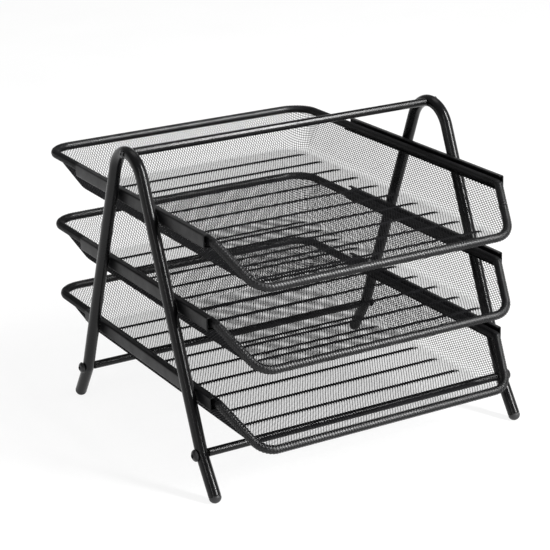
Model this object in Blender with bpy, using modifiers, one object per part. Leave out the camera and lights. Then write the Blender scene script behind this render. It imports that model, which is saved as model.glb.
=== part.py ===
"""A letter tray of three wire-mesh trays that slide in two bent-tube A-frames.

The object stands on z = 0 with its open front towards -Y, and the origin is under
the middle of the trays. Sizes are in metres and angles in radians.
"""

import math

import bmesh
import bpy
from mathutils import Matrix, Vector

# Driving sizes of a tray: the rim is a bent rod that carries a pressed mesh basket.
TRAY_WIDTH = 0.262  # over the rim
TRAY_DEPTH = 0.348  # over the rim, front lip to rear
RIM_DIAMETER = 0.0072
LIP_DROP = 0.029  # from the side rim down to the front lip
DIP_RUN = 0.0375  # how far behind the lip the side rim starts to go down
WALL_LEAN = 0.56  # how far a wall leans in for each metre it goes down
REAR_CORNER_R = 0.021  # bends of the rim, at its centreline
DIP_BEND_R = 0.0065
LIP_CORNER_R = 0.017
MESH_THICKNESS = 0.0008
FLOOR_STEP = 0.002  # the floor lies this far below the middle of the lip
FLOOR_CORNER_R = 0.022
FLOOR_ROUNDING = 0.005  # how far the rounding between wall and floor reaches
LIP_BLEND = 0.0075  # the last height over which a side wall turns into the lip
RIB_PITCH = 0.030
RIB_WIDTH = 0.0036
RIB_HEIGHT = 0.0014
RIB_MARGIN = 0.008  # from a rib's end to the side of the floor
FRONT_RIB_MARGIN = 0.025  # from the middle of the lip to the first rib

# Driving sizes of the stand.
TIERS = ("bottom", "middle", "top")
BOTTOM_RIM_Z = 0.0735
TIER_PITCH = 0.064
STAND_OFFSET = -0.0205  # the A-frames stand in front of the trays' middle
TUBE_DIAMETER = 0.0098
TUBE_WALL = 0.001
STAND_HEIGHT = 0.249
LEG_LEAN = math.radians(22.2)
APEX_BEND_R = 0.026
KINK_Z = 0.0325
KINK_BEND_R = 0.012
FOOT_LEAN = math.radians(34)
FOOT_FLAT_DEPTH = 0.0004  # the flat on which each domed foot plug rests
PLUG_STEM_LENGTH = 0.010
CROSSBAR_DIAMETER = 0.0066
CROSSBAR_WALL = 0.001
SCREW_SHANK_R = 0.0017
SCREW_REACH = 0.008  # how far a screw goes into its crossbar
DOME_HEAD_R = 0.0048
DOME_HEAD_HEIGHT = 0.0033
FLAT_HEAD_R = 0.0032
FLAT_HEAD_HEIGHT = 0.0010

# Driving sizes of a slide rail, a folded channel open towards the tray.
RAIL_THICKNESS = 0.001
RAIL_HEADROOM = 0.0011  # above the rim, under the rail's top lip
RAIL_LIP = 0.0035
RAIL_REAR_Y = 0.0955
STOP_GAP = 0.0024  # from the rail's front end to the point where the rim goes down

# Clearances.
GAP = 0.0003  # between pieces that touch
SIDE_PLAY = 0.0022  # between a rim and a rail's web
FLANGE_PLAY = 0.0006  # between a rail's flange and the mesh wall

# Sizes that follow from the others.
RIM_R = RIM_DIAMETER / 2
TUBE_R = TUBE_DIAMETER / 2
RIM_X = TRAY_WIDTH / 2 - RIM_R
REAR_Y = TRAY_DEPTH / 2 - RIM_R
LIP_Y = RIM_R - TRAY_DEPTH / 2
DIP_Y = LIP_Y + DIP_RUN
LIP_X = RIM_X - WALL_LEAN * LIP_DROP
EDGE_REACH = RIM_R + GAP + MESH_THICKNESS / 2  # from the rim's centreline to the mesh's edge
FLOOR_Z = -LIP_DROP - FLOOR_STEP
FLOOR_X = RIM_X + WALL_LEAN * FLOOR_Z
FLOOR_REAR_Y = REAR_Y + WALL_LEAN * FLOOR_Z
WEB_IN_X = TRAY_WIDTH / 2 + SIDE_PLAY
WEB_OUT_X = WEB_IN_X + RAIL_THICKNESS
LEG_X = WEB_OUT_X + GAP + TUBE_R
APEX_Z = STAND_HEIGHT - TUBE_R
LEG_POINT_Z = APEX_Z + APEX_BEND_R * (1 / math.sin(LEG_LEAN) - 1)
KINK_Y = (LEG_POINT_Z - KINK_Z) * math.tan(LEG_LEAN)
FOOT_Z = TUBE_R - FOOT_FLAT_DEPTH  # middle of a foot plug's dome
FOOT_Y = KINK_Y + (KINK_Z - FOOT_Z) * math.tan(FOOT_LEAN)
CROSSBAR_X = LEG_X - TUBE_R - GAP  # end faces of the crossbars
SCREW_HOLE_R = SCREW_SHANK_R + GAP

SIDES = {"left": -1, "right": 1}
ENDS = {"front": -1, "rear": 1}
UP = Vector((0, 0, 1))
FINISHES = {
    "frame_steel": ((0.018, 0.018, 0.019), 0.38, 0.0),
    "rail_steel": ((0.022, 0.022, 0.023), 0.42, 0.0),
    "rim_steel": ((0.018, 0.018, 0.019), 0.35, 0.0),
    "mesh_steel": ((0.020, 0.020, 0.021), 0.45, 0.0),
    "plug_plastic": ((0.015, 0.015, 0.015), 0.55, 0.0),
    "screw_steel": ((0.016, 0.016, 0.017), 0.32, 0.4),
}


def clear_scene():
    """Removes what the file opened with."""
    for item in list(bpy.data.objects):
        bpy.data.objects.remove(item)


def new_collection(name):
    """A collection of that name, in the scene."""
    collection = bpy.data.collections.new(name)
    bpy.context.scene.collection.children.link(collection)
    return collection


def new_finish(finish, node):
    """The node's own material."""
    colour, roughness, metallic = FINISHES[finish]
    material = bpy.data.materials.new(f"{node}_{finish}")
    material.use_nodes = True
    shader = material.node_tree.nodes["Principled BSDF"]
    shader.inputs["Base Color"].default_value = (*colour, 1)
    shader.inputs["Roughness"].default_value = roughness
    shader.inputs["Metallic"].default_value = metallic
    return material


def add_part(name, mesh, finish):
    """An object for the mesh, in the parts collection, with its finish."""
    part = bpy.data.objects.new(name, mesh)
    parts.objects.link(part)
    mesh.materials.append(new_finish(finish, name))
    return part


def mesh_from(build, name):
    """A mesh that build fills in through bmesh."""
    work = bmesh.new()
    build(work)
    mesh = bpy.data.meshes.new(name)
    work.to_mesh(mesh)
    work.free()
    return mesh


def shade_round(mesh):
    """Smooth shading, with the edges sharper than 40 degrees kept."""
    mesh.shade_smooth()
    mesh.set_sharp_from_angle(angle=math.radians(40))


def solidify(part, thickness, offset):
    """Gives an open surface its thickness."""
    shell = part.modifiers.new("thickness", "SOLIDIFY")
    shell.thickness = thickness
    shell.offset = offset
    shell.use_even_offset = True


def rounded_path(corners, closed):
    """Points along straight runs joined by arcs. A corner is (point, bend radius, steps)."""
    points = []
    for i, (corner, radius, steps) in enumerate(corners):
        if not closed and i in (0, len(corners) - 1):
            points.append(corner)
            continue
        before = (corners[i - 1][0] - corner).normalized()
        after = (corners[(i + 1) % len(corners)][0] - corner).normalized()
        half_angle = before.angle(after) / 2
        centre = corner + (before + after).normalized() * radius / math.sin(half_angle)
        start = corner + before * radius / math.tan(half_angle) - centre
        end = corner + after * radius / math.tan(half_angle) - centre
        turn = start.angle(end)
        for k in range(steps + 1):
            along = turn * k / steps
            mix = start * math.sin(turn - along) + end * math.sin(along)
            points.append(centre + mix / math.sin(turn))
    return points


def bent_rod(name, points, radius, closed, finish, capped=True):
    """A round rod along the points."""
    curve = bpy.data.curves.new(name, "CURVE")
    curve.dimensions = "3D"
    curve.bevel_depth = radius
    curve.bevel_resolution = 3
    curve.use_fill_caps = capped and not closed
    spline = curve.splines.new("POLY")
    spline.points.add(len(points) - 1)
    for spot, point in zip(spline.points, points):
        spot.co = (*point, 1)
    spline.use_cyclic_u = closed
    return add_part(name, curve, finish)


def bent_tube(name, points, radius, wall, finish):
    """A hollow tube along the points, open at both ends."""
    guide = bent_rod(name + "_guide", points, radius, False, finish, capped=False)
    bpy.context.view_layer.update()
    seen = guide.evaluated_get(bpy.context.evaluated_depsgraph_get())
    mesh = bpy.data.meshes.new_from_object(seen)
    mesh.materials.clear()
    bpy.data.objects.remove(guide)
    shade_round(mesh)
    tube = add_part(name, mesh, finish)
    solidify(tube, wall, -1)
    return tube


def turned_part(name, profile, steps, matrix, finish):
    """A turned piece. The profile is (radius, height) from the top of its axis down."""

    def build(work):
        spots = [work.verts.new((radius, 0, height)) for radius, height in profile]
        for upper, lower in zip(spots, spots[1:]):
            work.edges.new((upper, lower))

    part = add_part(name, mesh_from(build, name), finish)
    part.matrix_world = matrix
    screw = part.modifiers.new("turn", "SCREW")
    screw.axis = "Z"
    screw.steps = steps
    screw.render_steps = steps
    screw.use_merge_vertices = True
    screw.merge_threshold = 0.00001
    screw.use_smooth_shade = True
    return part


def cut_away(part, cutter):
    """Cuts the cutter's shape out of the part."""
    cut = part.modifiers.new("cut_" + cutter.name, "BOOLEAN")
    cut.operation = "DIFFERENCE"
    cut.object = cutter


def add_cutter(name, build, matrix=Matrix()):
    """A cutter, in its own collection and hidden in renders."""
    cutter = bpy.data.objects.new(name, mesh_from(build, name))
    cutter.matrix_world = matrix
    cutter.hide_render = True
    cutter.display_type = "WIRE"
    cutters.objects.link(cutter)
    return cutter


def leg_point(y, z, side):
    """A point in an A-frame's plane, with y counted from the frame's own middle."""
    return Vector((side * LEG_X, STAND_OFFSET + y, z))


def joint_points():
    """Where the crossbars meet an A-frame, as (bar name, y from the frame's middle, z)."""
    return (("top", 0, APEX_Z), ("front", -KINK_Y, KINK_Z), ("rear", KINK_Y, KINK_Z))


def make_side_frame(name, side):
    """One A-frame: a tube bent at its apex and again above each foot, drilled for screws."""
    toe = Vector((0, math.sin(FOOT_LEAN), -math.cos(FOOT_LEAN))) * GAP
    corners = [
        (leg_point(-FOOT_Y + toe.y, FOOT_Z - toe.z, side), 0, 0),
        (leg_point(-KINK_Y, KINK_Z, side), KINK_BEND_R, 3),
        (leg_point(0, LEG_POINT_Z, side), APEX_BEND_R, 10),
        (leg_point(KINK_Y, KINK_Z, side), KINK_BEND_R, 3),
        (leg_point(FOOT_Y - toe.y, FOOT_Z - toe.z, side), 0, 0),
    ]
    frame = bent_tube(name, rounded_path(corners, False), TUBE_R, TUBE_WALL, "frame_steel")

    def build(work):
        for _, y, z in joint_points():
            where = Matrix.Translation(leg_point(y, z, side)) @ Matrix.Rotation(math.pi / 2, 4, "Y")
            bmesh.ops.create_cone(
                work, cap_ends=True, segments=12, radius1=SCREW_HOLE_R,
                radius2=SCREW_HOLE_R, depth=2 * TUBE_DIAMETER, matrix=where,
            )

    cut_away(frame, add_cutter(name + "_screw_holes", build))


def make_foot_plug(name, side, end, ground):
    """A domed plug in a tube's end, with a small flat where it rests."""
    dome_steps = 5
    stem_r = TUBE_R - TUBE_WALL - GAP
    dome = [
        (TUBE_R * math.cos(a), -TUBE_R * math.sin(a))
        for a in (math.pi / 2 * k / dome_steps for k in range(dome_steps + 1))
    ]
    profile = [(0, PLUG_STEM_LENGTH), (stem_r, PLUG_STEM_LENGTH), (stem_r, 0)] + dome
    tilt = Matrix.Rotation(end * FOOT_LEAN, 4, "X")
    place = Matrix.Translation(leg_point(end * FOOT_Y, FOOT_Z, side)) @ tilt
    plug = turned_part(name, profile, 16, place, "plug_plastic")
    cut_away(plug, ground)


def make_crossbar(name, y, z):
    """A straight tube between the A-frames."""
    ends = [Vector((x, STAND_OFFSET + y, z)) for x in (-CROSSBAR_X, CROSSBAR_X)]
    bent_tube(name, ends, CROSSBAR_DIAMETER / 2, CROSSBAR_WALL, "frame_steel")


def make_screw(name, y, z, side, domed):
    """A screw through an A-frame's tube into the end of a crossbar."""
    head_r = DOME_HEAD_R if domed else FLAT_HEAD_R
    height = DOME_HEAD_HEIGHT if domed else FLAT_HEAD_HEIGHT
    crown = [
        (head_r * math.sin(a), height * math.cos(a))
        for a in (math.pi / 2 * k / 4 for k in range(5))
    ]
    length = TUBE_DIAMETER + 3 * GAP + SCREW_REACH
    profile = crown + [(SCREW_SHANK_R, 0), (SCREW_SHANK_R, -length), (0, -length)]
    seat = leg_point(y, z, side) + Vector((side * (TUBE_R + GAP), 0, 0))
    place = Matrix.Translation(seat) @ Matrix.Rotation(side * math.pi / 2, 4, "Y")
    turned_part(name, profile, 12, place, "screw_steel")


def make_rail(name, side, rim_z):
    """A folded channel: a flange under the rim, a web beside it and a lip over it."""
    half = RAIL_THICKNESS / 2
    web_x = WEB_IN_X + half
    low = -RIM_R - GAP - half
    high = RIM_R + RAIL_HEADROOM + half
    flange_x = RIM_X - WALL_LEAN * RIM_R + MESH_THICKNESS / 2 + FLANGE_PLAY
    fold = [(flange_x, low), (web_x, low), (web_x, high), (web_x - RAIL_LIP, high)]
    if side < 0:
        fold.reverse()
    front = DIP_Y + STOP_GAP

    def build(work):
        spots = [work.verts.new((side * x, RAIL_REAR_Y, rim_z + z)) for x, z in fold]
        edges = [work.edges.new(pair) for pair in zip(spots, spots[1:])]
        drawn = bmesh.ops.extrude_edge_only(work, edges=edges)["geom"]
        ends = [item for item in drawn if isinstance(item, bmesh.types.BMVert)]
        bmesh.ops.translate(work, verts=ends, vec=(0, front - RAIL_REAR_Y, 0))

    rail = add_part(name, mesh_from(build, name), "rail_steel")
    solidify(rail, RAIL_THICKNESS, 0)


def rim_path():
    """The rim's centreline, with the side rim at z = 0, from the right rear corner forwards."""
    right = [
        (Vector((RIM_X, REAR_Y, 0)), REAR_CORNER_R, 6),
        (Vector((RIM_X, DIP_Y, 0)), DIP_BEND_R, 3),
        (Vector((LIP_X, LIP_Y, -LIP_DROP)), LIP_CORNER_R, 6),
    ]
    mirror = Matrix.Scale(-1, 4, (1, 0, 0))
    left = [(mirror @ corner, radius, steps) for corner, radius, steps in reversed(right)]
    return rounded_path(right + left, True)


def basket_rings():
    """Rings of points from the mesh's edge, just inside the rim, down to its floor."""
    path = rim_path()
    floor_centre = Vector((FLOOR_X - FLOOR_CORNER_R, FLOOR_REAR_Y - FLOOR_CORNER_R, FLOOR_Z))
    columns = []
    for i, point in enumerate(path):
        along = (path[(i + 1) % len(path)] - path[i - 1]).normalized()
        side = math.copysign(1, point.x)
        square = Vector((-along.y, along.x, 0)).normalized()
        lip_share = 1 - min(1, (point.z + LIP_DROP) / LIP_BLEND)
        at_rear = point.y > REAR_Y - REAR_CORNER_R - GAP
        outward = square if at_rear else Vector((side, 0, 0)).lerp(square, lip_share)
        outward.normalize()
        wall_normal = (outward - UP * WALL_LEAN).normalized()
        normal = wall_normal.lerp(-UP, lip_share).normalized()
        edge = point + normal.cross(along).normalized() * EDGE_REACH
        foot = edge - outward * WALL_LEAN * (edge.z - FLOOR_Z)
        foot.z = FLOOR_Z
        if at_rear:
            foot = Vector((side * floor_centre.x, floor_centre.y, FLOOR_Z))
            foot += outward * FLOOR_CORNER_R
        rise = edge - foot
        reach = min(FLOOR_ROUNDING, rise.length / 2)
        start = foot + rise.normalized() * reach
        end = foot - outward * reach
        middle = (start + 2 * foot + end) / 4
        columns.append((edge, start, middle, end))
    return list(zip(*columns))


def rib_places():
    """The y of each pressed rib, from the front."""
    first = LIP_Y + FRONT_RIB_MARGIN
    last = FLOOR_REAR_Y - FLOOR_ROUNDING - RIB_WIDTH
    count = int((last - first) / RIB_PITCH) + 1
    return [first + RIB_PITCH * k for k in range(count)]


def add_ribs(work):
    """The pressed ribs, as bars that reach half-way into the floor."""
    length = 2 * (FLOOR_X - RIB_MARGIN)
    base = FLOOR_Z
    top = FLOOR_Z + MESH_THICKNESS / 2 + RIB_HEIGHT
    for y in rib_places():
        made = bmesh.ops.create_cube(work, size=1)
        size = Matrix.Diagonal((length, RIB_WIDTH, top - base, 1))
        place = Matrix.Translation((0, y, (base + top) / 2)) @ size
        bmesh.ops.transform(work, matrix=place, verts=made["verts"])
        for spot in made["verts"]:
            if spot.co.z > FLOOR_Z + MESH_THICKNESS:
                spot.co.y += math.copysign(RIB_HEIGHT, y - spot.co.y)
                spot.co.x -= math.copysign(RIB_HEIGHT, spot.co.x)


def make_basket(name, rim_z):
    """The mesh basket as a thin skin: leaning walls, a low front and a ribbed floor."""

    def build(work):
        rings = [[work.verts.new(point) for point in ring] for ring in basket_rings()]
        for upper, lower in zip(rings, rings[1:]):
            for i in range(len(upper)):
                work.faces.new((upper[i - 1], upper[i], lower[i], lower[i - 1]))
        work.faces.new(rings[-1])
        bmesh.ops.recalc_face_normals(work, faces=work.faces)

    basket = add_part(name, mesh_from(build, name), "mesh_steel")
    basket.location.z = rim_z
    shade_round(basket.data)
    solidify(basket, MESH_THICKNESS, 0)
    ribs = add_cutter(name + "_ribs", add_ribs, Matrix.Translation((0, 0, rim_z)))
    join = basket.modifiers.new("ribs", "BOOLEAN")
    join.operation = "UNION"
    join.object = ribs


def make_rim(name, rim_z):
    """The rim, a closed bent rod."""
    points = [point + UP * rim_z for point in rim_path()]
    bent_rod(name, points, RIM_R, True, "rim_steel")


def add_ground(work):
    """What is below the surface that the object stands on."""
    depth = TUBE_DIAMETER
    bmesh.ops.create_cube(work, size=1)
    size = Matrix.Diagonal((4 * LEG_X, 4 * FOOT_Y, depth, 1))
    place = Matrix.Translation((0, STAND_OFFSET, -depth / 2)) @ size
    bmesh.ops.transform(work, matrix=place, verts=work.verts)


clear_scene()
parts = new_collection("letter_tray")
cutters = new_collection("cutters")
ground_cutter = add_cutter("ground", add_ground)

for side_name, side_sign in SIDES.items():
    make_side_frame(f"side_frame_{side_name}", side_sign)
    for end_name, end_sign in ENDS.items():
        make_foot_plug(f"foot_plug_{end_name}_{side_name}", side_sign, end_sign, ground_cutter)
    for bar_name, bar_y, bar_z in joint_points():
        is_domed = bar_name != "top"
        make_screw(f"screw_{bar_name}_{side_name}", bar_y, bar_z, side_sign, is_domed)
for bar_name, bar_y, bar_z in joint_points():
    make_crossbar(f"crossbar_{bar_name}", bar_y, bar_z)
for tier, tier_name in enumerate(TIERS):
    tier_z = BOTTOM_RIM_Z + tier * TIER_PITCH
    for side_name, side_sign in SIDES.items():
        make_rail(f"rail_{tier_name}_{side_name}", side_sign, tier_z)
    make_rim(f"tray_rim_{tier_name}", tier_z)
    make_basket(f"tray_mesh_{tier_name}", tier_z)
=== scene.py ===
"""Looks for the three-tier mesh letter tray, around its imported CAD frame."""

import math

import bmesh
import bpy
import numpy as np
from mathutils import Matrix, Vector
from mathutils.kdtree import KDTree


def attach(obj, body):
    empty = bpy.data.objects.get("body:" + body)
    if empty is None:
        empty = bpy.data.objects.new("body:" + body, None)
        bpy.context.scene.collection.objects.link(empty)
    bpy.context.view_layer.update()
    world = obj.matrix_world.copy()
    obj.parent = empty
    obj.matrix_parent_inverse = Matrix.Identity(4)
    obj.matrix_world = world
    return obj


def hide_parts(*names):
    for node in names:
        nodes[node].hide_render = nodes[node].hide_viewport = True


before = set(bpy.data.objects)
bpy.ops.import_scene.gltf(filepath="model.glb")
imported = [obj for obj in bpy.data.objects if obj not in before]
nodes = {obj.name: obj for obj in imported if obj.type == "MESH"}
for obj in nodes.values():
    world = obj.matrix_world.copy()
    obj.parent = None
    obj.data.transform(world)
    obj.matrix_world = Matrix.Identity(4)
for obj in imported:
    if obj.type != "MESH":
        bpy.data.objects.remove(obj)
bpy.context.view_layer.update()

# Sizes in metres. Most repeat the CAD source's.
RIM_R = 0.0036
RIM_X = 0.131 - RIM_R
REAR_Y = 0.174 - RIM_R
LIP_Y = -REAR_Y
DIP_Y = LIP_Y + 0.0375
LIP_DROP = 0.029
WALL_LEAN = 0.56
LIP_X = RIM_X - WALL_LEAN * LIP_DROP
REAR_CORNER_R = 0.021
DIP_BEND_R = 0.0065
LIP_CORNER_R = 0.017
FLOOR_Z = -0.031
FLOOR_X = RIM_X + WALL_LEAN * FLOOR_Z
FLOOR_REAR_Y = REAR_Y + WALL_LEAN * FLOOR_Z
FLOOR_CORNER_R = 0.022
FLOOR_ROUNDING = 0.005
RIB_PITCH = 0.030
FIRST_RIB_Y = LIP_Y + 0.025
RIB_COUNT = 10
RIB_WIDTH = 0.0021  # a crease, narrower than the CAD's plain rib
RIB_HEIGHT = 0.0014
RIB_END_X = FLOOR_X - 0.008
RIB_END_RUN = 0.006
CORNER_TIGHTENING = 0.0575  # a rear corner's bend gets this much tighter on its way up
TUBE_R = 0.0049
LEG_X = 0.1394
STAND_Y = -0.0205
LEG_LEAN = math.radians(22.2)
APEX_Z = 0.249 - TUBE_R
APEX_BEND_R = 0.026
LEG_POINT_Z = APEX_Z + APEX_BEND_R * (1 / math.sin(LEG_LEAN) - 1)
KINK_Z = 0.0325
KINK_BEND_R = 0.012
KINK_Y = (LEG_POINT_Z - KINK_Z) * math.tan(LEG_LEAN)
FOOT_LEAN = math.radians(34)
FOOT_FLAT = 0.0004  # the flat on which each domed plug rests
FOOT_Z = TUBE_R - FOOT_FLAT
FOOT_Y = KINK_Y + (KINK_Z - FOOT_Z) * math.tan(FOOT_LEAN)
SEAM = 0.0003
CROSSBAR_R = 0.0033
CROSSBAR_X = LEG_X - TUBE_R - SEAM
RAIL_THICKNESS = 0.001
RAIL_FOLD_R = 0.0009
RAIL_LIP = 0.0035
RAIL_WEB_X = 0.1337
RAIL_HEADROOM = 0.0011
FLANGE_PLAY = 0.001  # from the middle of the mesh wall to a rail's flange
RAIL_FLANGE_X = RIM_X - WALL_LEAN * RIM_R + FLANGE_PLAY
RAIL_LOW_Z = -RIM_R - SEAM - RAIL_THICKNESS / 2
RAIL_HIGH_Z = RIM_R + RAIL_HEADROOM + RAIL_THICKNESS / 2
RAIL_REAR_Y = 0.0955
STOP_GAP = 0.0024
RAIL_FRONT_Y = DIP_Y + STOP_GAP
TIERS = {"bottom": 0.0735, "middle": 0.1375, "top": 0.2015}
SIDES = {"left": -1, "right": 1}
ENDS = {"front": -1, "rear": 1}

# The expanded metal: diamonds that are deeper than wide, between ridged strands.
CELL_X = 0.0024
CELL_Y = RIB_PITCH / 7.5
OPEN_SHARE = 0.78  # of a cell's width and depth
RIB_OPEN_SHARE = 0.22  # in the row of cells that a rib has pressed
NEAR_RIB_OPEN_SHARE = 0.52  # in the rows on either side of it
STRAND_RISE = 0.00022  # from an opening's edge to the strands' ridge
WALL_RISE = 0.00046  # in the side walls, where pressing has stretched the mesh
PULL = 0.0002  # how far pressing has moved the cells
HEM_OPEN_SHARE = 0.62  # where the mesh is folded round the rim
HEM_RISE = 0.00036
HEM_R = RIM_R - HEM_RISE / 2
WIRE_R = 0.0030  # the wire inside the hem
SPARE_SHEET = 0.022  # unfolded sheet past the rim, for the walls' height
RIM_SAMPLE = 0.0008  # between the points that stand for the rim's line
RIM_CLEARANCE = 0.0012  # the least from that line to the middle of a cell

SOFT_EDGE = 0.00012
PLUG_EDGE = 0.0003
# A screw's head radius and height, and its socket's radius and depth.
DOMED_SCREW = (0.0048, 0.0033, 0.0015, 0.0016)
FLAT_SCREW = (0.0032, 0.0010, 0.0011, 0.0007)
X_AXIS = Vector((1, 0, 0))
Z_AXIS = Vector((0, 0, 1))


def rounded_path(corners, closed=True):
    """Points along straight runs joined by arcs. A corner is (point, bend radius, steps)."""
    points = []
    for i, (corner, radius, steps) in enumerate(corners):
        if not closed and i in (0, len(corners) - 1):
            points.append(corner)
            continue
        before = (corners[i - 1][0] - corner).normalized()
        after = (corners[(i + 1) % len(corners)][0] - corner).normalized()
        half_angle = before.angle(after) / 2
        centre = corner + (before + after).normalized() * radius / math.sin(half_angle)
        start = corner + before * radius / math.tan(half_angle) - centre
        end = corner + after * radius / math.tan(half_angle) - centre
        turn = start.angle(end)
        for k in range(steps + 1):
            along = turn * k / steps
            mix = start * math.sin(turn - along) + end * math.sin(along)
            points.append(centre + mix / math.sin(turn))
    return points


def rim_path():
    """The rim's centreline, with the side rim at z = 0."""
    right = [
        (Vector((RIM_X, REAR_Y, 0)), REAR_CORNER_R, 14),
        (Vector((RIM_X, DIP_Y, 0)), DIP_BEND_R, 6),
        (Vector((LIP_X, LIP_Y, -LIP_DROP)), LIP_CORNER_R, 14),
    ]
    mirror = Matrix.Scale(-1, 4, (1, 0, 0))
    left = [(mirror @ corner, radius, steps) for corner, radius, steps in reversed(right)]
    return rounded_path(right + left)


# ---------------------------------------------------------------- materials


def new_material(name, colour, roughness, metallic=0.0):
    """A Principled material and its tree."""
    material = bpy.data.materials.new(name)
    material.use_nodes = True
    tree = material.node_tree
    shader = tree.nodes["Principled BSDF"]
    shader.inputs["Base Color"].default_value = (*colour, 1)
    shader.inputs["Roughness"].default_value = roughness
    shader.inputs["Metallic"].default_value = metallic
    return material, tree, shader


def noise(tree, scale, detail=4.0, rough=0.55, stretch=(1, 1, 1)):
    """A noise texture over the object's own coordinates."""
    where = tree.nodes.new("ShaderNodeTexCoord")
    mapping = tree.nodes.new("ShaderNodeMapping")
    mapping.inputs["Scale"].default_value = stretch
    texture = tree.nodes.new("ShaderNodeTexNoise")
    texture.inputs["Scale"].default_value = scale
    texture.inputs["Detail"].default_value = detail
    texture.inputs["Roughness"].default_value = rough
    tree.links.new(where.outputs["Object"], mapping.inputs["Vector"])
    tree.links.new(mapping.outputs["Vector"], texture.inputs["Vector"])
    return texture.outputs["Fac"]


def ramp(tree, value, stops):
    """A colour ramp. The stops are (place, colour)."""
    node = tree.nodes.new("ShaderNodeValToRGB")
    elements = node.color_ramp.elements
    while len(elements) < len(stops):
        elements.new(0.5)
    for element, (place, colour) in zip(elements, stops):
        element.position = place
        element.color = (*colour, 1)
    tree.links.new(value, node.inputs["Fac"])
    return node.outputs["Color"]


def spread(tree, value, low, high):
    """The value's middle range, stretched to low..high."""
    node = tree.nodes.new("ShaderNodeMapRange")
    node.inputs["From Min"].default_value = 0.3
    node.inputs["From Max"].default_value = 0.7
    node.inputs["To Min"].default_value = low
    node.inputs["To Max"].default_value = high
    tree.links.new(value, node.inputs["Value"])
    return node.outputs["Result"]


def bump(tree, shader, value, strength, distance):
    """Bump from the value, on top of any the shader has."""
    node = tree.nodes.new("ShaderNodeBump")
    node.inputs["Strength"].default_value = strength
    node.inputs["Distance"].default_value = distance
    tree.links.new(value, node.inputs["Height"])
    before = shader.inputs["Normal"]
    if before.is_linked:
        tree.links.new(before.links[0].from_socket, node.inputs["Normal"])
    tree.links.new(node.outputs["Normal"], before)


def powder_coat(name, dark, light, rough_low, rough_high, peel=0.35, shine=0.25):
    """Black powder coat: orange peel, fine grain, faint dust and uneven gloss."""
    material, tree, shader = new_material(name, dark, rough_low)
    shader.inputs["Specular IOR Level"].default_value = shine
    patches = noise(tree, 38.0, 5.0, 0.6)
    middle = tuple((a + b) / 2 for a, b in zip(dark, light))
    colour = ramp(tree, patches, ((0.35, dark), (0.55, middle), (0.72, light)))
    tree.links.new(colour, shader.inputs["Base Color"])
    gloss = spread(tree, noise(tree, 90.0, 3.0), rough_low, rough_high)
    tree.links.new(gloss, shader.inputs["Roughness"])
    bump(tree, shader, noise(tree, 700.0, 2.0), peel, 0.00012)
    bump(tree, shader, noise(tree, 3200.0, 2.0), peel * 0.6, 0.00004)
    return material


def moulded_plastic(name):
    """Matt black plastic with a fine spark-eroded grain."""
    material, tree, shader = new_material(name, (0.012, 0.012, 0.013), 0.5)
    tree.links.new(
        ramp(tree, noise(tree, 60.0), ((0.3, (0.010, 0.010, 0.011)), (0.7, (0.020, 0.020, 0.021)))),
        shader.inputs["Base Color"],
    )
    tree.links.new(spread(tree, noise(tree, 120.0), 0.42, 0.62), shader.inputs["Roughness"])
    bump(tree, shader, noise(tree, 2600.0, 3.0), 0.5, 0.00008)
    return material


def blackened_steel(name):
    """Black oxide on a screw: darker hollows, and a little metal showing."""
    material, tree, shader = new_material(name, (0.02, 0.02, 0.022), 0.3, 0.6)
    tree.links.new(
        ramp(tree, noise(tree, 240.0, 6.0), ((0.35, (0.014, 0.014, 0.015)), (0.75, (0.06, 0.06, 0.062)))),
        shader.inputs["Base Color"],
    )
    tree.links.new(spread(tree, noise(tree, 400.0), 0.22, 0.42), shader.inputs["Roughness"])
    bump(tree, shader, noise(tree, 1500.0, 2.0), 0.3, 0.00005)
    return material


FRAME_COAT = powder_coat(
    "frame_coat", (0.0015, 0.0015, 0.0017), (0.004, 0.004, 0.0045), 0.20, 0.30, peel=0.16, shine=0.26
)
RAIL_COAT = powder_coat(
    "rail_coat", (0.003, 0.003, 0.0033), (0.007, 0.007, 0.008), 0.32, 0.44, peel=0.4, shine=0.2
)
RIM_COAT = powder_coat(
    "rim_coat", (0.002, 0.002, 0.0022), (0.004, 0.004, 0.0045), 0.26, 0.36, peel=0.25, shine=0.40
)
MESH_COAT = powder_coat(
    "mesh_coat", (0.004, 0.004, 0.0045), (0.009, 0.009, 0.010), 0.42, 0.56, peel=0.3, shine=0.10
)
HEM_COAT = powder_coat(
    "hem_coat", (0.004, 0.004, 0.0045), (0.010, 0.010, 0.011), 0.30, 0.42, peel=0.25, shine=0.30
)
PLUG_PLASTIC = moulded_plastic("plug_plastic")
SCREW_STEEL = blackened_steel("screw_steel")

# ---------------------------------------------------------------- pieces


def add_piece(name, data, material, body, replaced):
    """An object that rides on the body and stands for the CAD nodes."""
    piece = bpy.data.objects.new(name, data)
    bpy.context.scene.collection.objects.link(piece)
    data.materials.append(material)
    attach(piece, body)
    if replaced:
        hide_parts(*replaced)
    return piece


def mesh_from(build, name):
    """A mesh that build fills in through bmesh."""
    work = bmesh.new()
    build(work)
    bmesh.ops.recalc_face_normals(work, faces=work.faces)
    mesh = bpy.data.meshes.new(name)
    work.to_mesh(mesh)
    work.free()
    mesh.shade_smooth()
    mesh.set_sharp_from_angle(angle=math.radians(35))
    return mesh


def quads_mesh(name, places, quads):
    """A mesh from numpy arrays of places and quads."""
    mesh = bpy.data.meshes.new(name)
    mesh.vertices.add(len(places))
    mesh.vertices.foreach_set("co", places.astype(np.float32).ravel())
    mesh.loops.add(quads.size)
    mesh.loops.foreach_set("vertex_index", quads.astype(np.int32).ravel())
    mesh.polygons.add(len(quads))
    mesh.polygons.foreach_set("loop_start", np.arange(0, quads.size, 4, dtype=np.int32))
    mesh.polygons.foreach_set("loop_total", np.full(len(quads), 4, dtype=np.int32))
    mesh.update(calc_edges=True)
    mesh.validate()
    return mesh


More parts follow.
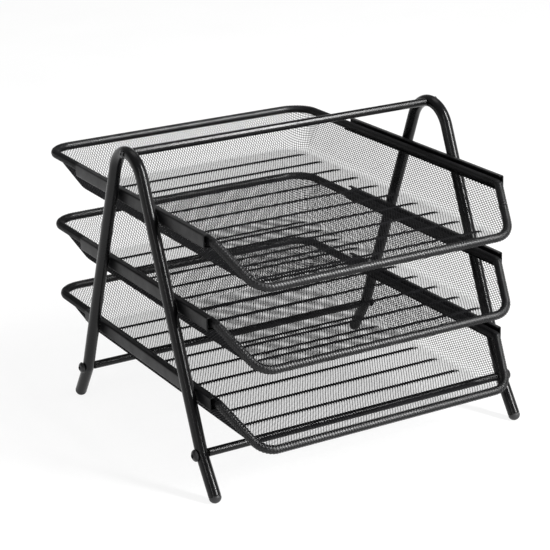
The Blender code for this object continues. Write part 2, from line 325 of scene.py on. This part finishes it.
def tube_mesh(name, points, radius, closed, up, sides=20):
    """A round tube skin along the points, which never run along up."""
    count = len(points)

    def build(work):
        rings = []
        for i, point in enumerate(points):
            if closed:
                along = (points[(i + 1) % count] - points[i - 1]).normalized()
            else:
                along = (points[min(i + 1, count - 1)] - points[max(i - 1, 0)]).normalized()
            first = along.cross(up).normalized()
            second = first.cross(along)
            rings.append([
                work.verts.new(point + radius * (first * math.cos(a) + second * math.sin(a)))
                for a in (2 * math.pi * k / sides for k in range(sides))
            ])
        pairs = list(zip(rings, rings[1:]))
        if closed:
            pairs.append((rings[-1], rings[0]))
        for ring, after in pairs:
            for k in range(sides):
                work.faces.new((ring[k - 1], ring[k], after[k], after[k - 1]))
        if not closed:
            work.faces.new(rings[0])
            work.faces.new(rings[-1])

    return mesh_from(build, name)


def roof_net(place, u, v, valid, steps, share, rise, wrap=False):
    """Places and quads of expanded metal over a grid of half cells. place(u, v, height)
    gives points. Each opening has four low corners, and each strand's ridge runs between
    the high bonds that lie half a cell away from the openings' middles."""
    turns = ((1, 0), (0, 1), (-1, 0), (0, -1))

    def shift(grid, di, dj):
        moved = np.roll(grid, (-di, -dj), (0, 1))
        if not wrap:
            if di:
                moved[-1 if di > 0 else 0, :] = 0
            if dj:
                moved[:, -1 if dj > 0 else 0] = 0
        return moved

    bonds = np.zeros_like(valid)
    for di, dj in turns:
        bonds |= shift(valid, di, dj).astype(bool)
    cell_count = int(valid.sum())
    bond_index = np.zeros(valid.shape, np.int64)
    bond_index[bonds] = 4 * cell_count + np.arange(bonds.sum())
    cells = 4 * np.arange(cell_count)
    places = np.empty((4 * cell_count + int(bonds.sum()), 3))
    share = np.broadcast_to(share, valid.shape)[valid]
    for k, (di, dj) in enumerate(turns):
        at_u = u[valid] + di * share * steps[0]
        at_v = v[valid] + dj * share * steps[1]
        places[cells + k] = place(at_u, at_v, -rise / 2)
    places[4 * cell_count:] = place(u[bonds], v[bonds], rise / 2)
    quads = []
    for k in range(4):
        after = (k + 1) % 4
        quads.append(np.stack((
            cells + k, shift(bond_index, *turns[k])[valid],
            shift(bond_index, *turns[after])[valid], cells + after,
        ), 1))
    return places, np.concatenate(quads)


def basket_surface(u, v, height=0.0):
    """Points at a height over the pressed basket, from places on its unfolded sheet."""
    side = np.where(u < 0, -1.0, 1.0)
    straight_x, straight_y = FLOOR_X - FLOOR_CORNER_R, FLOOR_REAR_Y - FLOOR_CORNER_R
    qx, qy = np.abs(u) - straight_x, v - straight_y
    cornered = (qx > 0) & (qy > 0)
    reach = np.where(cornered, np.hypot(qx, qy), np.maximum(qx, qy)) - FLOOR_CORNER_R
    # how far out and up the sheet is for its reach past the floor's edge
    wall = math.hypot(WALL_LEAN, 1)
    lean, climb = WALL_LEAN / wall, 1 / wall
    c = FLOOR_ROUNDING
    t = np.clip((reach + c) / (2 * c), 0, 1)
    over = np.maximum(reach - c, 0)
    out = np.where(reach < -c, reach, c * (lean * t**2 - (1 - t) ** 2) + lean * over)
    up = climb * (c * t**2 + over)
    slope_out, slope_up = (1 - t) + t * lean, t * climb
    length = np.hypot(slope_out, slope_up)
    # round a rear corner: a straight run, the bend and a straight run
    bend_r = FLOOR_CORNER_R + np.where(out < 0, out, -CORNER_TIGHTENING * out)
    run = out - (bend_r - FLOOR_CORNER_R)
    turn = np.arctan2(np.maximum(qy, 0), np.maximum(qx, 1e-12)) / (math.pi / 2)
    along = turn * (2 * run + bend_r * math.pi / 2)
    angle = np.clip((along - run) / bend_r, 0, math.pi / 2)
    before = np.minimum(along - run, 0)
    after = np.maximum(along - run - bend_r * math.pi / 2, 0)
    out_x = np.where(cornered, np.cos(angle), np.where(qx >= qy, 1.0, 0.0))
    out_y = np.where(cornered, np.sin(angle), np.where(qx >= qy, 0.0, 1.0))
    x = np.where(
        cornered, straight_x + run + bend_r * out_x - after, np.abs(u) + out_x * (out - reach)
    )
    y = np.where(cornered, straight_y + run + bend_r * out_y + before, v + out_y * (out - reach))
    # pressed ribs across the floor
    nearest = np.clip(np.round((v - FIRST_RIB_Y) / RIB_PITCH), 0, RIB_COUNT - 1)
    off = v - FIRST_RIB_Y - RIB_PITCH * nearest
    ridge = np.clip(1 - np.abs(off) / (RIB_WIDTH / 2), 0, 1)
    rib = RIB_HEIGHT * ridge * np.clip((RIB_END_X - np.abs(u)) / RIB_END_RUN, 0, 1)
    flat, steep = slope_out / length, slope_up / length
    height = height * (1 + (WALL_RISE / STRAND_RISE - 1) * np.clip(reach / c, 0, 1) * (qx >= qy))
    return np.stack((
        side * (x - out_x * steep * height),
        y - out_y * steep * height,
        FLOOR_Z + up + rib + flat * height,
    ), -1)


RIM_POINTS = rim_path()


def within_rim(places):
    """True for places inside the rim's loop, seen from above, and not in its wire."""
    x, y = places[..., 0], places[..., 1]
    inside = np.zeros(x.shape, bool)
    for a, b in zip(RIM_POINTS, RIM_POINTS[1:] + RIM_POINTS[:1]):
        crosses = (a.y > y) != (b.y > y)
        if a.y != b.y:
            inside ^= crosses & (x < (b.x - a.x) * (y - a.y) / (b.y - a.y) + a.x)
    dense = []
    for a, b in zip(RIM_POINTS, RIM_POINTS[1:] + RIM_POINTS[:1]):
        steps = max(1, int((b - a).length / RIM_SAMPLE))
        dense += [a.lerp(b, k / steps) for k in range(steps)]
    tree = KDTree(len(dense))
    for i, point in enumerate(dense):
        tree.insert(point, i)
    tree.balance()
    flat = places.reshape(-1, 3)
    keep = inside.ravel()
    for i in np.nonzero(keep)[0]:
        if tree.find(flat[i])[2] < RIM_CLEARANCE:
            keep[i] = False
    return keep.reshape(inside.shape)


def near_rib(u, v, reach):
    """True within reach of the middle of a rib."""
    nearest = np.clip(np.round((v - FIRST_RIB_Y) / RIB_PITCH), 0, RIB_COUNT - 1)
    return (np.abs(v - FIRST_RIB_Y - RIB_PITCH * nearest) < reach) & (np.abs(u) < RIB_END_X)


def basket_net(phase):
    """Places and quads of a tray's mesh, with the side rim at z = 0. Pressing has pulled
    the diamonds a little out of line, in a different way for each phase."""
    steps = (CELL_X / 2, CELL_Y / 2)
    across = int((RIM_X + SPARE_SHEET) / steps[0])
    rows_to_rib = math.ceil((FIRST_RIB_Y - LIP_Y) / steps[1]) + 1
    front, rear = FIRST_RIB_Y - rows_to_rib * steps[1], REAR_Y + SPARE_SHEET
    i, j = np.meshgrid(
        np.arange(-across, across + 1), np.arange(int((rear - front) / steps[1])), indexing="ij"
    )
    u, v = i * steps[0], front + j * steps[1]

    def place(at_u, at_v, height=0.0):
        pulled_u = PULL * np.sin(at_u / 0.019 + at_v / 0.013 + phase)
        pulled_u += PULL * np.sin(at_v / 0.031 - at_u / 0.041 + 2.3 * phase)
        pulled_v = PULL * np.sin(at_u / 0.017 - 1.7 * phase)
        pulled_v *= np.sin(math.pi * (at_v - FIRST_RIB_Y) / RIB_PITCH)
        return basket_surface(at_u + pulled_u, at_v + pulled_v, height)

    valid = ((i + j) % 2 == 0) & within_rim(place(u, v))
    share = np.where(near_rib(u, v, 1.3 * steps[1]), NEAR_RIB_OPEN_SHARE, OPEN_SHARE)
    share = np.where(near_rib(u, v, 0.3 * steps[1]), RIB_OPEN_SHARE, share)
    floor = (np.abs(u) < FLOOR_X) & (v < FLOOR_REAR_Y)
    return [
        roof_net(place, u, v, valid & part, steps, share, STRAND_RISE) for part in (floor, ~floor)
    ]


def hem_net():
    """Places and quads of the mesh folded round the rim's wire."""
    points = np.array([tuple(p) for p in RIM_POINTS + RIM_POINTS[:1]])
    marks = np.concatenate(([0], np.cumsum(np.linalg.norm(np.diff(points, axis=0), axis=1))))
    total = marks[-1]
    counts = 2 * round(total / CELL_X), 2 * round(2 * math.pi * HEM_R / CELL_Y)
    steps = total / counts[0], 2 * math.pi / counts[1]

    def centre(s):
        return np.stack([np.interp(np.mod(s, total), marks, points[:, k]) for k in range(3)], -1)

    def place(s, angle, height):
        along = centre(s + CELL_X / 2) - centre(s - CELL_X / 2)
        first = np.cross(along, (0, 0, 1.0))
        first /= np.linalg.norm(first, axis=-1, keepdims=True)
        second = np.cross(first, along)
        second /= np.linalg.norm(second, axis=-1, keepdims=True)
        out = first * np.cos(angle)[:, None] + second * np.sin(angle)[:, None]
        return centre(s) + (HEM_R + height) * out

    i, j = np.meshgrid(np.arange(counts[0]), np.arange(counts[1]), indexing="ij")
    valid = (i + j) % 2 == 0
    return roof_net(place, i * steps[0], j * steps[1], valid, steps, HEM_OPEN_SHARE, HEM_RISE, True)


def leg_point(y, z, side):
    """A point in an A-frame's plane, with y counted from the frame's own middle."""
    return Vector((side * LEG_X, STAND_Y + y, z))


def frame_tube(name, side):
    """An A-frame's tube, bent at its apex and above each foot."""
    toe = Vector((0, math.sin(FOOT_LEAN), -math.cos(FOOT_LEAN))) * SEAM
    corners = [
        (leg_point(-FOOT_Y + toe.y, FOOT_Z - toe.z, side), 0, 0),
        (leg_point(-KINK_Y, KINK_Z, side), KINK_BEND_R, 8),
        (leg_point(0, LEG_POINT_Z, side), APEX_BEND_R, 36),
        (leg_point(KINK_Y, KINK_Z, side), KINK_BEND_R, 8),
        (leg_point(FOOT_Y - toe.y, FOOT_Z - toe.z, side), 0, 0),
    ]
    return tube_mesh(name, rounded_path(corners, False), TUBE_R, False, X_AXIS, 28)


def turned_mesh(name, rings, place, sides=24, floor_z=None):
    """A turned piece from rings of (radius, height, corners), closed at both ends. Corners
    is 0 for a round ring, or 6 for a hexagon's."""

    def build(work):
        made = []
        for radius, height, corners in rings:
            ring = []
            for k in range(sides):
                angle = 2 * math.pi * k / sides
                reach = radius
                if corners:
                    wedge = 2 * math.pi / corners
                    reach = radius / math.cos((angle % wedge) - wedge / 2)
                spot = place @ Vector((reach * math.cos(angle), reach * math.sin(angle), height))
                if floor_z is not None:
                    spot.z = max(spot.z, floor_z)
                ring.append(work.verts.new(spot))
            made.append(ring)
        for ring, after in zip(made, made[1:]):
            for k in range(sides):
                work.faces.new((ring[k - 1], ring[k], after[k], after[k - 1]))
        work.faces.new(made[0])
        work.faces.new(made[-1])

    return mesh_from(build, name)


def plug_mesh(name, side, end):
    """A domed foot plug with a small collar line, flat where it rests."""
    rings = [(TUBE_R - FOOT_FLAT, 0.0001, 0), (TUBE_R, -PLUG_EDGE, 0)]
    for k in range(1, 12):
        angle = math.pi / 2 * k / 12
        dome = (TUBE_R - PLUG_EDGE) * math.sin(angle)
        rings.append((TUBE_R * math.cos(angle), -PLUG_EDGE - dome, 0))
    rings.append((0.0002, -TUBE_R, 0))
    place = Matrix.Translation(leg_point(end * FOOT_Y, FOOT_Z, side))
    return turned_mesh(name, rings, place @ Matrix.Rotation(end * FOOT_LEAN, 4, "X"), 28, 0.0)


def screw_mesh(name, y, z, side, domed):
    """A screw's head with its hexagon socket."""
    head_r, height, socket_r, depth = DOMED_SCREW if domed else FLAT_SCREW
    rings = [(head_r * 0.9, -0.0002, 0), (head_r, 0.00015, 0)]
    for k in range(1, 8):
        angle = math.pi / 2 * k / 9
        rings.append((head_r * math.cos(angle), 0.00015 + (height - 0.0002) * math.sin(angle), 0))
    rings += [
        (socket_r * 1.18, height, 0), (socket_r, height - 0.0002, 6), (socket_r, height - depth, 6),
        (0.0003, height - depth - 0.0003 * domed, 0),
    ]
    seat = leg_point(y, z, side) + Vector((side * (TUBE_R + SEAM), 0, 0))
    place = Matrix.Translation(seat) @ Matrix.Rotation(side * math.pi / 2, 4, "Y")
    return turned_mesh(name, rings, place)


def rail_mesh(name, side, rim_z):
    """A rail: sheet folded into a channel, with rounded folds and square ends."""
    half = RAIL_THICKNESS / 2
    fold = [
        (Vector((RAIL_FLANGE_X, RAIL_LOW_Z, 0)), 0, 0),
        (Vector((RAIL_WEB_X, RAIL_LOW_Z, 0)), RAIL_FOLD_R, 5),
        (Vector((RAIL_WEB_X, RAIL_HIGH_Z, 0)), RAIL_FOLD_R, 5),
        (Vector((RAIL_WEB_X - RAIL_LIP, RAIL_HIGH_Z, 0)), 0, 0),
    ]
    line = rounded_path(fold, False)
    last = len(line) - 1
    skin = [[], []]
    for i, point in enumerate(line):
        along = (line[min(i + 1, last)] - line[max(i - 1, 0)]).normalized()
        square = Vector((-along.y, along.x, 0)) * half
        skin[0].append(point + square)
        skin[1].append(point - square)
    section = skin[0] + skin[1][::-1]

    def build(work):
        rings = [
            [work.verts.new((side * spot.x, y, rim_z + spot.y)) for spot in section]
            for y in (RAIL_REAR_Y, RAIL_FRONT_Y)
        ]
        count = len(section)
        for k in range(count):
            work.faces.new((rings[0][k - 1], rings[0][k], rings[1][k], rings[1][k - 1]))
        for ring in rings:
            for k in range(last):
                work.faces.new((ring[k], ring[k + 1], ring[count - 2 - k], ring[count - 1 - k]))

    return mesh_from(build, name)


JOINTS = {"top": (0, APEX_Z), "front": (-KINK_Y, KINK_Z), "rear": (KINK_Y, KINK_Z)}


def add_part(name, mesh, material, body="stand"):
    """A finer piece that stands for the CAD node of the same name."""
    piece = add_piece(name + "_piece", mesh, material, body, [name])
    soften = piece.modifiers.new("soft_edges", "BEVEL")
    soften.width = SOFT_EDGE
    soften.segments = 2
    soften.angle_limit = math.radians(50)
    return piece


for side_name, side in SIDES.items():
    name = f"side_frame_{side_name}"
    add_part(name, frame_tube(name, side), FRAME_COAT)
    for end_name, end in ENDS.items():
        name = f"foot_plug_{end_name}_{side_name}"
        add_part(name, plug_mesh(name, side, end), PLUG_PLASTIC)
    for joint, (y, z) in JOINTS.items():
        name = f"screw_{joint}_{side_name}"
        add_part(name, screw_mesh(name, y, z, side, joint != "top"), SCREW_STEEL)
    for tier, rim_z in TIERS.items():
        name = f"rail_{tier}_{side_name}"
        add_part(name, rail_mesh(name, side, rim_z), RAIL_COAT)
for joint, (y, z) in JOINTS.items():
    name = f"crossbar_{joint}"
    ends = [Vector((x, STAND_Y + y, z)) for x in (-CROSSBAR_X, CROSSBAR_X)]
    add_part(name, tube_mesh(name, ends, CROSSBAR_R, False, Z_AXIS), FRAME_COAT)

hem_places, hem_quads = hem_net()
for phase, (tier, rim_z) in enumerate(TIERS.items()):
    lift = np.array((0, 0, rim_z))
    body = f"{tier}_tray"
    for part, (net_places, net_quads) in zip(("floor", "wall"), basket_net(phase)):
        name = f"{tier}_tray_{part}_net"
        net = quads_mesh(name, net_places + lift, net_quads)
        add_piece(name, net, MESH_COAT, body, [f"tray_mesh_{tier}"])
    name = f"{tier}_rim_wire"
    wire = [point + Vector((0, 0, rim_z)) for point in RIM_POINTS]
    wire_mesh = tube_mesh(name, wire, WIRE_R, True, Z_AXIS)
    add_piece(name, wire_mesh, RIM_COAT, body, [f"tray_rim_{tier}"])
    name = f"{tier}_rim_hem"
    hem = quads_mesh(name, hem_places + lift, hem_quads)
    add_piece(name, hem, HEM_COAT, body, [f"tray_rim_{tier}"])

# ---------------------------------------------------------------- stage


FLOOR_REACH = 12.0
FLOOR_GLOW = 0.88  # keeps the shade under the object pale
FADE = (0.14, 0.30)  # where the backdrop turns into the room, in the direction's Z
LIGHTS_AIM = Vector((0, 0, 0.12))
CAMERA_AIM = Vector((-0.002, 0.0, 0.112))
AZIMUTH, ELEVATION, ROLL = math.radians(-29.33), math.radians(19.51), math.radians(-1.57)
CAMERA_DISTANCE = 1.5
LENS = 118.0


def add_stage():
    """A plain pale floor that reaches the horizon."""
    mesh = bpy.data.meshes.new("floor")
    far = FLOOR_REACH
    corners = [(-far, -far, 0), (far, -far, 0), (far, far, 0), (-far, far, 0)]
    mesh.from_pydata(corners, [], [(0, 1, 2, 3)])
    floor = bpy.data.objects.new("floor", mesh)
    bpy.context.scene.collection.objects.link(floor)
    material, tree, shader = new_material("floor_paint", (0.15, 0.15, 0.15), 0.6)
    tree.links.new(
        ramp(tree, noise(tree, 6.0), ((0.3, (0.14, 0.14, 0.14)), (0.7, (0.16, 0.16, 0.16)))),
        shader.inputs["Base Color"],
    )
    shader.inputs["Specular IOR Level"].default_value = 0.0
    shader.inputs["Emission Color"].default_value = (1, 1, 1, 1)
    shader.inputs["Emission Strength"].default_value = FLOOR_GLOW
    mesh.materials.append(material)


def add_light(name, place, length_along, size, power):
    """A softbox that faces the object. Its longer side lies along length_along."""
    light = bpy.data.lights.new(name, "AREA")
    light.shape = "RECTANGLE"
    light.size_y, light.size = size
    light.energy = power
    thing = bpy.data.objects.new(name, light)
    back = (Vector(place) - LIGHTS_AIM).normalized()
    side = Vector(length_along).cross(back).normalized()
    turn = Matrix((side, back.cross(side), back)).transposed().to_4x4()
    thing.matrix_world = Matrix.Translation(place) @ turn
    bpy.context.scene.collection.objects.link(thing)


def add_world(low, high):
    """White light from all round: a pale backdrop low down, and a dimmer room above it."""
    world = bpy.data.worlds.new("studio")
    world.use_nodes = True
    tree = world.node_tree
    back = tree.nodes["Background"]
    back.inputs["Color"].default_value = (1, 1, 1, 1)
    direction = tree.nodes.new("ShaderNodeTexCoord")
    split = tree.nodes.new("ShaderNodeSeparateXYZ")
    fade = tree.nodes.new("ShaderNodeMapRange")
    fade.interpolation_type = "SMOOTHSTEP"
    sockets = ("From Min", "From Max", "To Min", "To Max")
    for socket, value in zip(sockets, (*FADE, low, high)):
        fade.inputs[socket].default_value = value
    tree.links.new(direction.outputs["Generated"], split.inputs[0])
    tree.links.new(split.outputs["Z"], fade.inputs["Value"])
    tree.links.new(fade.outputs["Result"], back.inputs["Strength"])
    bpy.context.scene.world = world


def add_camera():
    """The camera at the photograph's angle, aimed at the middle of the object."""
    data = bpy.data.cameras.new("camera")
    data.lens = LENS
    camera = bpy.data.objects.new("camera", data)
    back = Vector((
        math.sin(AZIMUTH) * math.cos(ELEVATION),
        -math.cos(AZIMUTH) * math.cos(ELEVATION),
        math.sin(ELEVATION),
    ))
    right = (-back).cross(Vector((0, 0, 1))).normalized()
    up = right.cross(-back)
    rolled_right = right * math.cos(ROLL) + up * math.sin(ROLL)
    rolled_up = up * math.cos(ROLL) - right * math.sin(ROLL)
    turn = Matrix((rolled_right, rolled_up, back)).transposed().to_4x4()
    camera.matrix_world = Matrix.Translation(CAMERA_AIM + back * CAMERA_DISTANCE) @ turn
    bpy.context.scene.collection.objects.link(camera)
    bpy.context.scene.camera = camera


add_stage()
add_world(0.95, 0.22)
add_light("key", (1.0, -1.45, 1.45), (0, 1, 1), (2.0, 0.24), 105)
add_light("fill", (-1.4, -1.1, 1.2), (0, 0, 1), (1.5, 0.10), 5)
add_light("top", (0.3, 0.9, 2.3), (1, 0, 0), (1.6, 0.8), 5)
add_camera()
bpy.context.scene.view_settings.view_transform = "Standard"
